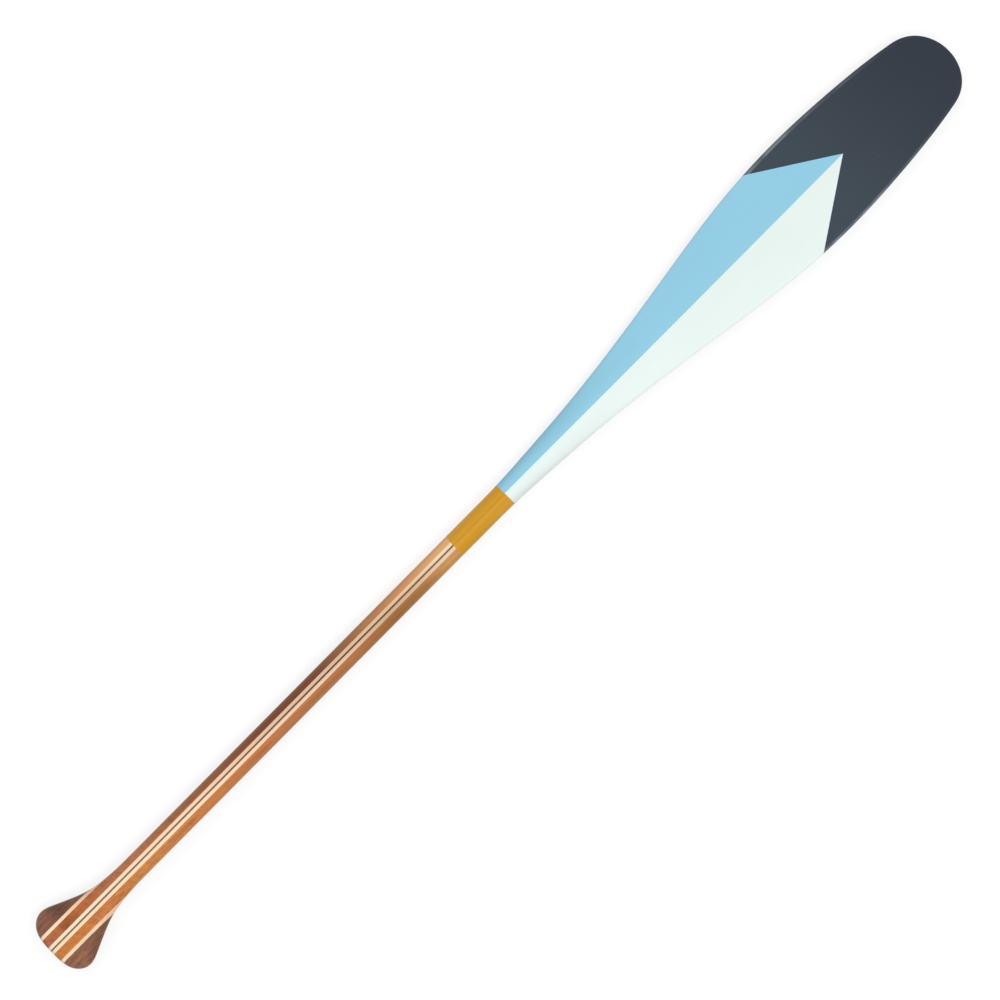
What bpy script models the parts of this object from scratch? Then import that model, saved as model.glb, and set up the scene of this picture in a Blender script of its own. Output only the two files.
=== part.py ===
"""A laminated canoe paddle with a palm grip, a straight shaft and a long tapered blade.

It is made the way the real one is. Straight laths are glued side by side into a blank, and the blank is
carved to one flowing form. Here every lath is a box, the carved form is a loft between unlike sections,
and each lath keeps what it shares with the form.

The paddle lies on its back along X, with the blade's tip at +X, the face up and the shaft's underside
at Z = 0. The origin is half way along it. Left is +Y. All sizes are in metres.
"""

import math

import bmesh
import bpy
import numpy as np
from mathutils import Matrix

# The whole paddle and its shaft
OVERALL_LENGTH = 1.524
SHAFT_WIDTH = 0.0305
SHAFT_DEPTH = 0.0290

# The blade, from its tip to where its neck has run into the shaft
BLADE_LENGTH = 0.775
BLADE_WIDTH = 0.1384
BLADE_DEPTH = 0.0084
BLADE_RIM_DEPTH = 0.0040
BLADE_RIM_ROUND = 0.006

# The neck, measured from its end: how far it keeps the shaft's depth, and where its flanks turn hollow
NECK_FULL_DEPTH = 0.040
FLANKS_START = 0.035
FLANKS_LENGTH = 0.200

# The tip, measured from its end
TIP_ROUND = 0.045
TIP_FLAT = 0.010
TIP_DEPTH = 0.0020
TIP_THINNING = 0.006

# The grip, measured from its end
GRIP_LENGTH = 0.135
GRIP_WIDTH = 0.0870
GRIP_DEPTH = 0.0268
GRIP_WIDEST = 0.022
GRIP_END_WIDTH = 0.036
GRIP_END_DEPTH = 0.015
GRIP_END_ROUND = 0.013

# The laths, outwards from the middle of the shaft. Cedar fills the shaft up to its sides, where it has a
# little to spare for carving. A glue line lies between two laths, and every blank is a bit too long.
WALNUT_CENTRE = 0.0022
MAPLE = 0.0040
CEDAR_SPARE = 0.00095
GRIP_MAPLE = 0.0042
BLADE_LATH = 0.0180
GLUE_LINE = 0.0003
LATH_SPARE = 0.004

# The blade's outline: share of its length from the tip, and share of the way from shaft to blade width
BLADE_PLAN = (
    (0.000, 0.560),
    (0.085, 0.775),
    (0.176, 0.920),
    (0.300, 1.000),
    (0.426, 0.897),
    (0.561, 0.622),
    (0.698, 0.333),
    (0.800, 0.166),
    (0.903, 0.058),
    (1.000, 0.000),
)

# The spine, which is the shaft's depth running out into the blade: share of its length from the tip,
# and share of the way from blade depth to shaft depth
SPINE_PLAN = (
    (0.00, -0.12),
    (0.15, -0.06),
    (0.32, 0.00),
    (0.58, 0.20),
    (0.74, 0.46),
    (0.87, 0.79),
    (1.00, 1.00),
)

# The grip's outline: share of the way from its widest place to the shaft, and share of the extra width
GRIP_PLAN = (
    (0.00, 1.000),
    (0.16, 0.800),
    (0.31, 0.530),
    (0.50, 0.235),
    (0.73, 0.065),
    (1.00, 0.000),
)

# How the tip's outline and the sections curve: 2 is an ellipse, and more is squarer
TIP_POWER = 2.7
PALM_POWER = 2.9
SPINE_POWER = 1.4

# How finely the form is carved. Half of the points on a section is an odd number, so that the shaft has
# a flat facet along the middle of its underside.
SECTION_POINTS = 26
BLADE_STATIONS = 34
TIP_STATIONS = 8
GRIP_STATIONS = 16
GRIP_END_STATIONS = 6

CEDAR_RED = (0.45, 0.19, 0.07)
MAPLE_CREAM = (0.80, 0.56, 0.33)
WALNUT_BROWN = (0.16, 0.075, 0.04)
PAINT_BLUE = (0.25, 0.52, 0.68)
PAINT_MINT = (0.76, 0.86, 0.83)
VARNISH_ROUGHNESS = 0.35
PAINT_ROUGHNESS = 0.45


def smooth_through(points, first_slope):
    """The cubic spline through some points, with a given slope at the first and level at the last."""
    places = np.array([point[0] for point in points], float)
    heights = np.array([point[1] for point in points], float)
    steps = np.diff(places)
    rises = np.diff(heights) / steps
    count = len(points)
    system = np.zeros((count, count))
    wanted = np.zeros(count)
    system[0, :2] = 2 * steps[0], steps[0]
    wanted[0] = 6 * (rises[0] - first_slope)
    system[-1, -2:] = steps[-1], 2 * steps[-1]
    wanted[-1] = -6 * rises[-1]
    for i in range(1, count - 1):
        system[i, i - 1 : i + 2] = steps[i - 1], 2 * (steps[i - 1] + steps[i]), steps[i]
        wanted[i] = 6 * (rises[i] - rises[i - 1])
    bends = np.linalg.solve(system, wanted)

    def curve(place):
        place = min(max(place, places[0]), places[-1])
        i = min(int(np.searchsorted(places, place, "right")) - 1, count - 2)
        left = place - places[i]
        right = places[i + 1] - place
        cubic = (bends[i] * right**3 + bends[i + 1] * left**3) / (6 * steps[i])
        from_left = (heights[i] / steps[i] - bends[i] * steps[i] / 6) * right
        from_right = (heights[i + 1] / steps[i] - bends[i + 1] * steps[i] / 6) * left
        return cubic + from_left + from_right

    return curve


def ease(share):
    """From 0 to 1 with a level start and a level end."""
    share = min(max(share, 0.0), 1.0)
    return share * share * (3 - 2 * share)


def round_over(share, power=2):
    """A quarter ellipse from 0 to 1, steep at the start and level at the end. More power makes it squarer."""
    share = min(max(share, 0.0), 1.0)
    return math.sqrt(1 - (1 - share) ** power)


TIP_SLOPE = (BLADE_PLAN[1][1] - BLADE_PLAN[0][1]) / (BLADE_PLAN[1][0] - BLADE_PLAN[0][0])
blade_plan = smooth_through(BLADE_PLAN, TIP_SLOPE)
spine_plan = smooth_through(SPINE_PLAN, 0)
grip_plan = smooth_through(GRIP_PLAN, 0)


def blade_section(from_tip):
    """Half width, half depth, the rim's half depth and how hollow the flanks are, at one station."""
    extra_width = (BLADE_WIDTH - SHAFT_WIDTH) / 2
    half_width = SHAFT_WIDTH / 2 + extra_width * blade_plan(from_tip / BLADE_LENGTH)
    flat_share = 1 - (1 - (TIP_FLAT / (2 * half_width)) ** 2) ** (1 / TIP_POWER)
    half_width *= round_over(flat_share + (1 - flat_share) * from_tip / TIP_ROUND, TIP_POWER)
    extra_depth = (SHAFT_DEPTH - BLADE_DEPTH) / 2
    spine_length = BLADE_LENGTH - NECK_FULL_DEPTH
    half_depth = BLADE_DEPTH / 2 + extra_depth * spine_plan(from_tip / spine_length)
    half_depth = TIP_DEPTH / 2 + (half_depth - TIP_DEPTH / 2) * round_over(from_tip / TIP_THINNING)
    rim = min(BLADE_RIM_DEPTH / 2, half_depth)
    flanks = ease((BLADE_LENGTH - from_tip - FLANKS_START) / FLANKS_LENGTH)
    return half_width, half_depth, rim, flanks


def grip_section(from_end):
    """Half width, half depth and how palm-like the section is, at one station."""
    share = (from_end - GRIP_WIDEST) / (GRIP_LENGTH - GRIP_WIDEST)
    half_width = SHAFT_WIDTH / 2 + (GRIP_WIDTH - SHAFT_WIDTH) / 2 * grip_plan(share)
    if from_end < GRIP_WIDEST:
        ear = (GRIP_WIDTH - GRIP_END_WIDTH) / 2
        half_width = GRIP_END_WIDTH / 2 + ear * round_over(from_end / GRIP_WIDEST)
    palm = ease(1 - share)
    half_depth = SHAFT_DEPTH / 2 + (GRIP_DEPTH - SHAFT_DEPTH) / 2 * palm
    end_depth = GRIP_END_DEPTH / 2
    half_depth = end_depth + (half_depth - end_depth) * round_over(from_end / GRIP_END_ROUND)
    return half_width, half_depth, palm


def section_shares():
    """Places across a section, as shares of its half width, close together near the edges."""
    steps = SECTION_POINTS // 2
    turns = [-1 + 2 * i / steps for i in range(steps + 1)]
    return [math.sin(math.pi / 2 * turn) for turn in turns]


def oval(share):
    """An ellipse's height at a share of its half width."""
    return round_over(1 - abs(share))


def blade_height(share, half_width, half_depth, rim, flanks):
    """Height over the middle plane: oval at the neck, then a spine on a thin blade with a rounded rim."""
    from_edge = (1 - abs(share)) * half_width
    rim_round = min(BLADE_RIM_ROUND, half_width)
    spine = math.cos(math.pi / 2 * share) ** SPINE_POWER
    thin = rim * round_over(from_edge / rim_round) + (half_depth - rim) * spine
    return (1 - flanks) * half_depth * oval(share) + flanks * thin


def grip_height(share, half_depth, palm):
    """Height over the middle plane: oval on the shaft, flatter in the palm."""
    return half_depth * round_over(1 - abs(share), 2 + (PALM_POWER - 2) * palm)


def ring(x, half_width, height_at):
    """One closed section of the form. The facet in the middle touches the true curve, and isn't inside it."""
    shares = section_shares()
    lift = 1 / oval(shares[len(shares) // 2])
    middle = SHAFT_DEPTH / 2
    top = [(x, share * half_width, middle + lift * height_at(share)) for share in shares]
    inner = reversed(shares[1:-1])
    below = [(x, share * half_width, middle - lift * height_at(share)) for share in inner]
    return top + below


def blade_rings():
    """Sections from the blade's tip to the end of its neck, close together at the tip."""
    turns = [math.pi / 2 * i / TIP_STATIONS for i in range(TIP_STATIONS)]
    near = [TIP_ROUND * (1 - math.cos(turn)) for turn in turns]
    far = np.linspace(TIP_ROUND, BLADE_LENGTH, BLADE_STATIONS)
    for from_tip in [*near, *far]:
        sizes = blade_section(from_tip)
        yield ring(OVERALL_LENGTH / 2 - from_tip, sizes[0], lambda share: blade_height(share, *sizes))


def grip_rings():
    """Sections from where the grip begins to its flat end, close together at the end."""
    far = np.linspace(GRIP_LENGTH, GRIP_WIDEST, GRIP_STATIONS)
    turns = [math.pi / 2 * i / GRIP_END_STATIONS for i in range(1, GRIP_END_STATIONS + 1)]
    near = [GRIP_WIDEST * (1 - math.sin(turn)) for turn in turns]
    for from_end in [*far, *near]:
        half_width, half_depth, palm = grip_section(from_end)
        x = -OVERALL_LENGTH / 2 + from_end
        yield ring(x, half_width, lambda share: grip_height(share, half_depth, palm))


def clear_scene():
    for obj in list(bpy.data.objects):
        bpy.data.objects.remove(obj, do_unlink=True)


def new_collection(name):
    collection = bpy.data.collections.new(name)
    bpy.context.scene.collection.children.link(collection)
    return collection


def finish(name, color, roughness):
    """A plain Principled material."""
    material = bpy.data.materials.new(name)
    material.use_nodes = True
    shader = material.node_tree.nodes["Principled BSDF"]
    shader.inputs["Base Color"].default_value = (*color, 1)
    shader.inputs["Roughness"].default_value = roughness
    shader.inputs["Metallic"].default_value = 0
    material.diffuse_color = (*color, 1)
    return material


def carved_form(cutters):
    """The outside of the whole paddle, as one closed loft. It only serves to carve the laths."""
    mesh = bmesh.new()
    loops = [[mesh.verts.new(point) for point in points] for points in [*blade_rings(), *grip_rings()]]
    for before, after in zip(loops, loops[1:]):
        for i, vert in enumerate(before):
            mesh.faces.new((vert, before[i - 1], after[i - 1], after[i]))
    mesh.faces.new(loops[0])
    mesh.faces.new(reversed(loops[-1]))
    bmesh.ops.recalc_face_normals(mesh, faces=mesh.faces)
    data = bpy.data.meshes.new("carved_form")
    mesh.to_mesh(data)
    mesh.free()
    form = bpy.data.objects.new("carved_form", data)
    cutters.objects.link(form)
    form.hide_render = True
    form.display_type = "WIRE"
    return form


class Workshop:
    """What every lath needs: the collection that it goes in and the form that it is carved to."""

    def __init__(self):
        self.paddle = new_collection("canoe_paddle")
        self.form = carved_form(new_collection("cutters"))

    def lath(self, name, material, ends, low_y, high_y):
        """A sawn lath between two X and two Y planes, less half a glue line a side, carved to the form."""
        low_y += GLUE_LINE / 2
        high_y -= GLUE_LINE / 2
        depth = SHAFT_DEPTH + 2 * LATH_SPARE
        bpy.ops.mesh.primitive_cube_add(size=1)
        piece = bpy.context.active_object
        piece.name = name
        piece.data.name = name
        piece.data.transform(Matrix.Diagonal((ends[1] - ends[0], high_y - low_y, depth, 1)))
        piece.location = (sum(ends) / 2, (low_y + high_y) / 2, SHAFT_DEPTH / 2)
        bpy.context.scene.collection.objects.unlink(piece)
        self.paddle.objects.link(piece)
        piece.data.materials.append(material)
        carve = piece.modifiers.new("carve", "BOOLEAN")
        carve.operation = "INTERSECT"
        carve.solver = "EXACT"
        carve.object = self.form

    def pair(self, name, materials, ends, inner, outer):
        """The same lath on the left and on the right of the middle."""
        self.lath(f"{name}_left", materials[0], ends, inner, outer)
        self.lath(f"{name}_right", materials[1], ends, -outer, -inner)


def build_paddle():
    clear_scene()
    bpy.context.view_layer.active_layer_collection = bpy.context.view_layer.layer_collection
    shop = Workshop()
    cedar = finish("cedar", CEDAR_RED, VARNISH_ROUGHNESS)
    maple = finish("maple", MAPLE_CREAM, VARNISH_ROUGHNESS)
    walnut = finish("walnut", WALNUT_BROWN, VARNISH_ROUGHNESS)
    blue = finish("paint_blue", PAINT_BLUE, PAINT_ROUGHNESS)
    mint = finish("paint_mint", PAINT_MINT, PAINT_ROUGHNESS)

    grip_end = -OVERALL_LENGTH / 2
    tip = OVERALL_LENGTH / 2
    whole = (grip_end - LATH_SPARE, tip + LATH_SPARE)
    at_grip = (grip_end - LATH_SPARE, grip_end + GRIP_LENGTH)
    at_blade = (tip - BLADE_LENGTH, tip + LATH_SPARE)

    centre_edge = WALNUT_CENTRE / 2
    maple_edge = centre_edge + MAPLE
    cedar_edge = SHAFT_WIDTH / 2 + CEDAR_SPARE
    grip_maple_edge = cedar_edge + GRIP_MAPLE
    ear_edge = GRIP_WIDTH / 2 + LATH_SPARE
    inner_edge = cedar_edge + BLADE_LATH
    middle_edge = inner_edge + BLADE_LATH
    outer_edge = BLADE_WIDTH / 2 + LATH_SPARE

    shop.lath("walnut_centre_strip", walnut, whole, -centre_edge, centre_edge)
    shop.pair("maple_strip", (maple, maple), whole, centre_edge, maple_edge)
    shop.pair("cedar_strip", (cedar, cedar), whole, maple_edge, cedar_edge)
    shop.pair("grip_maple", (maple, maple), at_grip, cedar_edge, grip_maple_edge)
    shop.pair("grip_walnut", (walnut, walnut), at_grip, grip_maple_edge, ear_edge)
    shop.pair("blade_inner", (blue, mint), at_blade, cedar_edge, inner_edge)
    shop.pair("blade_middle", (blue, mint), at_blade, inner_edge, middle_edge)
    shop.pair("blade_outer", (blue, mint), at_blade, middle_edge, outer_edge)


build_paddle()
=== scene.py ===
# %% [markdown]
# # A laminated canoe paddle
#
# The object is a wooden paddle for an open canoe. Its maker glues straight strips of cedar, maple and
# walnut side by side, adds wider laths of basswood for the blade, and carves the block to one flowing form.
# Blocks of satin paint then cover the blade, and satin varnish covers the bare wood.
#
# The sizes are settled already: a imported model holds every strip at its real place. This lesson gives each
# strip a finer surface and a finish. It loads that model first, so that nothing has to be fitted later.

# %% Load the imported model
import math

import bpy
import numpy as np
from mathutils import Matrix, Vector


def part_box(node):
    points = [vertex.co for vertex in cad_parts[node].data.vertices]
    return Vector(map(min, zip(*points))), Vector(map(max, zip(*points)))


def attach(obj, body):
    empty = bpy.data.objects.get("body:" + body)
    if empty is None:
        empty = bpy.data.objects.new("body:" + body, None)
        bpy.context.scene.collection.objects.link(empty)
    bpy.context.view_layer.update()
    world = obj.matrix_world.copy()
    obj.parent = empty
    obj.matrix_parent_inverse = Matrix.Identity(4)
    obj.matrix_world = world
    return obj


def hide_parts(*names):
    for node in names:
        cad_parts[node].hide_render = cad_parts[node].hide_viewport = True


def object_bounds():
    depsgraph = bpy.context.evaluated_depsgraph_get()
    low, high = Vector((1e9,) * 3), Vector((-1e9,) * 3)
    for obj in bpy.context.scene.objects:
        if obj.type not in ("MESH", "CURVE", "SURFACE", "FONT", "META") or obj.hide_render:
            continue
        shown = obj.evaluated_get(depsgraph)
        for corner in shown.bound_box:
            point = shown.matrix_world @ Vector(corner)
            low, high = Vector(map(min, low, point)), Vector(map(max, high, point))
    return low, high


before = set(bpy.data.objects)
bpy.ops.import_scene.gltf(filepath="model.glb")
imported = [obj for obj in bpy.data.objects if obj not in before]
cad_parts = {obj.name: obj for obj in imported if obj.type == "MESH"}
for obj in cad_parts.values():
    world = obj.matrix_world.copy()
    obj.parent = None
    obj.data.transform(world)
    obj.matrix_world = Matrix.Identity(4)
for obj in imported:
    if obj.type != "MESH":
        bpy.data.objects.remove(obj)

cad_low, cad_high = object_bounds()
print("The model's strips:", ", ".join(sorted(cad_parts)))
print("It is", *(f"{1000 * size:.1f}" for size in cad_high - cad_low), "mm long, wide and high")

# %% [markdown]
# ## Where the sizes come from
#
# A finish only fits if it starts from the same numbers as the wood under it. One could type all of them
# again, but then two scripts could disagree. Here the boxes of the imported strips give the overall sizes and
# the glue planes: a plane lies half way between the boxes of the two strips that meet on it. The paddle
# lies along X with the blade's tip at +X, its face up, and its left side at +Y.


# %% Measure the model
def glue_plane(inner, outer):
    """How far from the middle two neighbouring strips on the left are glued together."""
    return (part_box(inner)[1].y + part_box(outer)[0].y) / 2


TIP = cad_high.x
GRIP_END = cad_low.x
MIDDLE_HEIGHT = (cad_low.z + cad_high.z) / 2
SHAFT_DEPTH = cad_high.z - cad_low.z
BLADE_WIDTH = 2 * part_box("blade_outer_left")[1].y
GRIP_WIDTH = 2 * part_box("grip_walnut_left")[1].y

CENTRE_GLUE = glue_plane("walnut_centre_strip", "maple_strip_left")
MAPLE_GLUE = glue_plane("maple_strip_left", "cedar_strip_left")
CEDAR_GLUE = glue_plane("cedar_strip_left", "blade_inner_left")
GRIP_GLUE = glue_plane("grip_maple_left", "grip_walnut_left")
INNER_GLUE = glue_plane("blade_inner_left", "blade_middle_left")
MIDDLE_GLUE = glue_plane("blade_middle_left", "blade_outer_left")

planes = (CENTRE_GLUE, MAPLE_GLUE, CEDAR_GLUE, GRIP_GLUE, INNER_GLUE, MIDDLE_GLUE)
print("Glue planes at", *(f"{1000 * plane:.1f}" for plane in planes), "mm from the middle")

# %% [markdown]
# ## What only the carving decides
#
# A box says nothing about how the wood curves inside it: how round the tip is, how thin the rim, how flat
# the end of the grip. These sizes could hide in the formulas that use them, but a maker who wants another
# paddle would have to hunt for them. So they stand here in one list, in metres.

# %% Carved sizes
SHAFT_WIDTH = 0.0305
BLADE_LENGTH = 0.775
BLADE_DEPTH = 0.0084
RIM_DEPTH = 0.0040
RIM_ROUND = 0.006
NECK_FULL_DEPTH = 0.040
FLANKS_START = 0.035
FLANKS_LENGTH = 0.200
TIP_ROUND = 0.045
TIP_DEPTH = 0.0020
TIP_THINNING = 0.006
TIP_FLAT = 2 * MAPLE_GLUE
GRIP_LENGTH = 0.135
GRIP_DEPTH = 0.0268
GRIP_WIDEST = 0.022
GRIP_END_WIDTH = 0.036
GRIP_END_DEPTH = 0.015
GRIP_END_ROUND = 0.013

# How squarely the tip's outline and the palm curve: 2 is an ellipse, and more is squarer.
TIP_POWER = 2.7
PALM_POWER = 2.9

# How narrow the blade's spine is: 1 is a plain wave, and more is narrower.
SPINE_POWER = 1.4
print(f"The shaft is {1000 * SHAFT_WIDTH:.1f} mm wide, and the blade {1000 * BLADE_LENGTH:.0f} mm long")

# %% [markdown]
# ## Outlines from a few marks
#
# A carver draws an outline from a few marks on the block and joins them by eye. A list of every point on
# the curve would be exact, but nobody could read or change it. So each outline is a short list of marks. A
# mark is a share of the length and a share of the extra width or depth, so that the shape can be stretched.

# %% Outlines, as shares
BLADE_PLAN = (
    (0.000, 0.560),
    (0.085, 0.775),
    (0.176, 0.920),
    (0.300, 1.000),
    (0.426, 0.897),
    (0.561, 0.622),
    (0.698, 0.333),
    (0.800, 0.166),
    (0.903, 0.058),
    (1.000, 0.000),
)
SPINE_PLAN = (
    (0.00, -0.12),
    (0.15, -0.06),
    (0.32, 0.00),
    (0.58, 0.20),
    (0.74, 0.46),
    (0.87, 0.79),
    (1.00, 1.00),
)
GRIP_PLAN = (
    (0.00, 1.000),
    (0.16, 0.800),
    (0.31, 0.530),
    (0.50, 0.235),
    (0.73, 0.065),
    (1.00, 0.000),
)
WIDEST_SHARE = BLADE_PLAN[3][0]
TIP_SLOPE = (BLADE_PLAN[1][1] - BLADE_PLAN[0][1]) / (BLADE_PLAN[1][0] - BLADE_PLAN[0][0])
print(f"The blade is widest {1000 * WIDEST_SHARE * BLADE_LENGTH:.0f} mm from its tip")

# %% [markdown]
# ## Curves through a few points
#
# Straight lines between the points would leave corners, which a gloss shows at once. A cubic spline goes
# through every point and keeps its bend even. Blender's own curves could do this too, but the form needs
# the width at any place as a number, so a small function is easier. It takes whole arrays, which keeps the
# thousands of surface points quick.


# %% Smooth curves
def smooth_through(points, first_slope):
    """The cubic spline through some points, with a given slope at the first and level at the last."""
    places, heights = np.array(points, float).T
    steps = np.diff(places)
    rises = np.diff(heights) / steps
    count = len(places)
    system = np.zeros((count, count))
    wanted = np.zeros(count)
    system[0, :2] = 2 * steps[0], steps[0]
    wanted[0] = 6 * (rises[0] - first_slope)
    system[-1, -2:] = steps[-1], 2 * steps[-1]
    wanted[-1] = -6 * rises[-1]
    for i in range(1, count - 1):
        system[i, i - 1 : i + 2] = steps[i - 1], 2 * (steps[i - 1] + steps[i]), steps[i]
        wanted[i] = 6 * (rises[i] - rises[i - 1])
    bends = np.linalg.solve(system, wanted)

    def curve(place):
        place = np.clip(place, places[0], places[-1])
        i = np.clip(np.searchsorted(places, place, "right") - 1, 0, count - 2)
        left = place - places[i]
        right = places[i + 1] - place
        cubic = (bends[i] * right**3 + bends[i + 1] * left**3) / (6 * steps[i])
        from_left = (heights[i] / steps[i] - bends[i] * steps[i] / 6) * right
        from_right = (heights[i + 1] / steps[i] - bends[i + 1] * steps[i] / 6) * left
        return cubic + from_left + from_right

    return curve


def ease(share):
    """From 0 to 1 with a level start and a level end."""
    share = np.clip(share, 0, 1)
    return share * share * (3 - 2 * share)


def round_over(share, power=2):
    """A quarter ellipse from 0 to 1, steep at the start and level at the end."""
    return np.sqrt(1 - (1 - np.clip(share, 0, 1)) ** power)


blade_plan = smooth_through(BLADE_PLAN, TIP_SLOPE)
spine_plan = smooth_through(SPINE_PLAN, 0)
grip_plan = smooth_through(GRIP_PLAN, 0)
print(f"Half way down the blade the outline keeps {blade_plan(0.5):.2f} of its extra width")

# %% [markdown]
# ## One form for all the strips
#
# The real strips were one block when the spokeshave went over them, so their surfaces run into each other
# without a step. Strips that are modelled one by one would never meet so well. So one function gives the
# height of the carved form anywhere, and every strip takes its own slice of it. A section is an oval on the
# shaft, a squarer oval in the palm, and a thin lens with a rounded rim on the blade.


# %% Sections of the form
def sections(x):
    """Half width, half depth, half depth of the rim, and how hollow the flanks and how full the palm is."""
    from_tip = TIP - x
    from_end = x - GRIP_END
    widened = np.minimum(blade_plan(from_tip / BLADE_LENGTH), 1)
    half_width = SHAFT_WIDTH / 2 + (BLADE_WIDTH - SHAFT_WIDTH) / 2 * widened
    flat_share = 1 - (1 - (TIP_FLAT / (2 * half_width)).clip(0, 1) ** 2) ** (1 / TIP_POWER)
    half_width = half_width * round_over(flat_share + (1 - flat_share) * from_tip / TIP_ROUND, TIP_POWER)
    grip_share = (from_end - GRIP_WIDEST) / (GRIP_LENGTH - GRIP_WIDEST)
    half_width = half_width + (GRIP_WIDTH - SHAFT_WIDTH) / 2 * grip_plan(grip_share)
    ear = (GRIP_WIDTH - GRIP_END_WIDTH) / 2
    half_width = half_width - ear * (1 - round_over(from_end / GRIP_WIDEST))

    palm = ease(1 - grip_share)
    spine = spine_plan(from_tip / (BLADE_LENGTH - NECK_FULL_DEPTH))
    half_depth = BLADE_DEPTH / 2 + (SHAFT_DEPTH - BLADE_DEPTH) / 2 * spine
    half_depth = half_depth - (SHAFT_DEPTH - GRIP_DEPTH) / 2 * palm
    half_depth = TIP_DEPTH / 2 + (half_depth - TIP_DEPTH / 2) * round_over(from_tip / TIP_THINNING)
    end_depth = GRIP_END_DEPTH / 2
    half_depth = end_depth + (half_depth - end_depth) * round_over(from_end / GRIP_END_ROUND)

    rim = np.minimum(RIM_DEPTH / 2, half_depth)
    flanks = ease((BLADE_LENGTH - from_tip - FLANKS_START) / FLANKS_LENGTH)
    return half_width, half_depth, rim, flanks, palm


def surface(x, angle, side):
    """Points on the form. The angle runs from -90 to 90 degrees, right to left, and side is 1 on the face."""
    half_width, half_depth, rim, flanks, palm = sections(x)
    share = np.sin(angle)
    from_edge = 1 - np.abs(share)
    oval = half_depth * round_over(from_edge, 2 + (PALM_POWER - 2) * palm)
    rounded_rim = rim * round_over(from_edge * half_width / np.minimum(RIM_ROUND, half_width))
    spine = (half_depth - rim) * np.cos(math.pi / 2 * share).clip(0, 1) ** SPINE_POWER
    height = (1 - flanks) * oval + flanks * (rounded_rim + spine)
    return np.stack([x, half_width * share, MIDDLE_HEIGHT + side * height], -1)


WIDEST_BLADE = TIP - WIDEST_SHARE * BLADE_LENGTH
WIDEST_GRIP = GRIP_END + GRIP_WIDEST
ON_SHAFT = WIDEST_GRIP + 2 * GRIP_LENGTH
for name, place in (("grip", WIDEST_GRIP), ("shaft", ON_SHAFT), ("blade", WIDEST_BLADE)):
    width, depth = (2 * 1000 * float(half) for half in sections(np.array(place))[:2])
    print(f"The {name} is {width:.1f} mm wide and {depth:.1f} mm deep")

# %% [markdown]
# ## Normals from the form itself
#
# Blender can guess a smooth normal from the faces around a point, but at a strip's edge it only sees that
# strip, and every glue line would show as a crease. The form knows its true normal: take a tiny step along
# it and a tiny step across it, and the cross product of the two stands on the surface.

# %% True normals
STEP_ALONG = 1e-5
STEP_ACROSS = 1e-4


def surface_normals(x, angle, side):
    """Unit normals of the form, pointing out of the wood."""
    before = surface(np.maximum(x - STEP_ALONG, GRIP_END), angle, side)
    after = surface(np.minimum(x + STEP_ALONG, TIP), angle, side)
    inwards = np.where(angle < 0, 1, -1)
    across = surface(x, angle + inwards * STEP_ACROSS, side) - surface(x, angle, side)
    normal = side * np.cross(after - before, across * inwards[..., None])
    return normal / np.linalg.norm(normal, axis=-1, keepdims=True)


crown = surface_normals(np.array([ON_SHAFT]), np.array([0.0]), 1)[0]
print("The normal on top of the shaft is", crown.round(3))

# %% [markdown]
# ## Stations along the paddle
#
# A loft is drawn from sections, which a boat builder calls stations. Even spacing would waste points on the
# straight shaft and leave corners on the tip. So they stand close together where the outline turns quickly,
# at the tip and at the grip's end. A strip also needs a station exactly where the outline crosses its glue
# plane, because that is where it ends in a point.

# %% Stations
TIP_STATIONS = 26
GRIP_END_STATIONS = 22
BLADE_SPACING = 0.005
SHAFT_SPACING = 0.018
GRIP_SPACING = 0.0028
LEAST_SPACING = 0.0002
SAME_STATION = LEAST_SPACING / 10
HALVINGS = 60


def even(start, end, spacing):
    """Places at about this spacing."""
    return np.linspace(start, end, round(abs(end - start) / spacing) + 1)


def rounding(end, length, count):
    """Places that crowd together at an end which the form rounds over. The length is signed."""
    return end + length * (1 - np.cos(np.linspace(0, math.pi / 2, count)))


def crossing(plane, inside, outside):
    """Where the outline crosses a glue plane, between a place inside the outline and one outside it."""
    for _ in range(HALVINGS):
        middle = (inside + outside) / 2
        if sections(np.array(middle))[0] > plane:
            inside = middle
        else:
            outside = middle
    return inside


fixed = [GRIP_END, TIP, crossing(GRIP_GLUE, WIDEST_GRIP, GRIP_END)]
fixed += [crossing(plane, WIDEST_GRIP, ON_SHAFT) for plane in (CEDAR_GLUE, GRIP_GLUE)]
for plane in (CEDAR_GLUE, INNER_GLUE, MIDDLE_GLUE):
    fixed += [crossing(plane, WIDEST_BLADE, TIP), crossing(plane, WIDEST_BLADE, ON_SHAFT)]
fixed = np.array(fixed)

places = np.concatenate(
    [
        rounding(GRIP_END, GRIP_WIDEST, GRIP_END_STATIONS),
        even(WIDEST_GRIP, GRIP_END + GRIP_LENGTH, GRIP_SPACING),
        even(GRIP_END + GRIP_LENGTH, TIP - BLADE_LENGTH, SHAFT_SPACING),
        even(TIP - BLADE_LENGTH, TIP - TIP_ROUND, BLADE_SPACING),
        rounding(TIP, -TIP_ROUND, TIP_STATIONS),
    ]
)
clear = np.abs(places[:, None] - fixed).min(1) > LEAST_SPACING
STATIONS = np.unique(np.concatenate([places[clear], fixed]))
STATIONS = STATIONS[np.concatenate([[True], np.diff(STATIONS) > SAME_STATION])]
print(len(STATIONS), "stations from the grip's end to the tip")

# %% [markdown]
# ## A strip as a loft
#
# Each strip is a ring of points at every station: over the face from its low plane to its high plane, and
# back along the underside. One could cut the strips with booleans, as a joiner saws them, but the cuts
# would leave long thin triangles. A loft gives clean rows of four-sided faces. The points are spaced by
# equal angles of an arc over the whole width, so they crowd at the edges, where the wood turns quickly.

# %% Rings of a strip
NARROWEST = 1e-5


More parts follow.
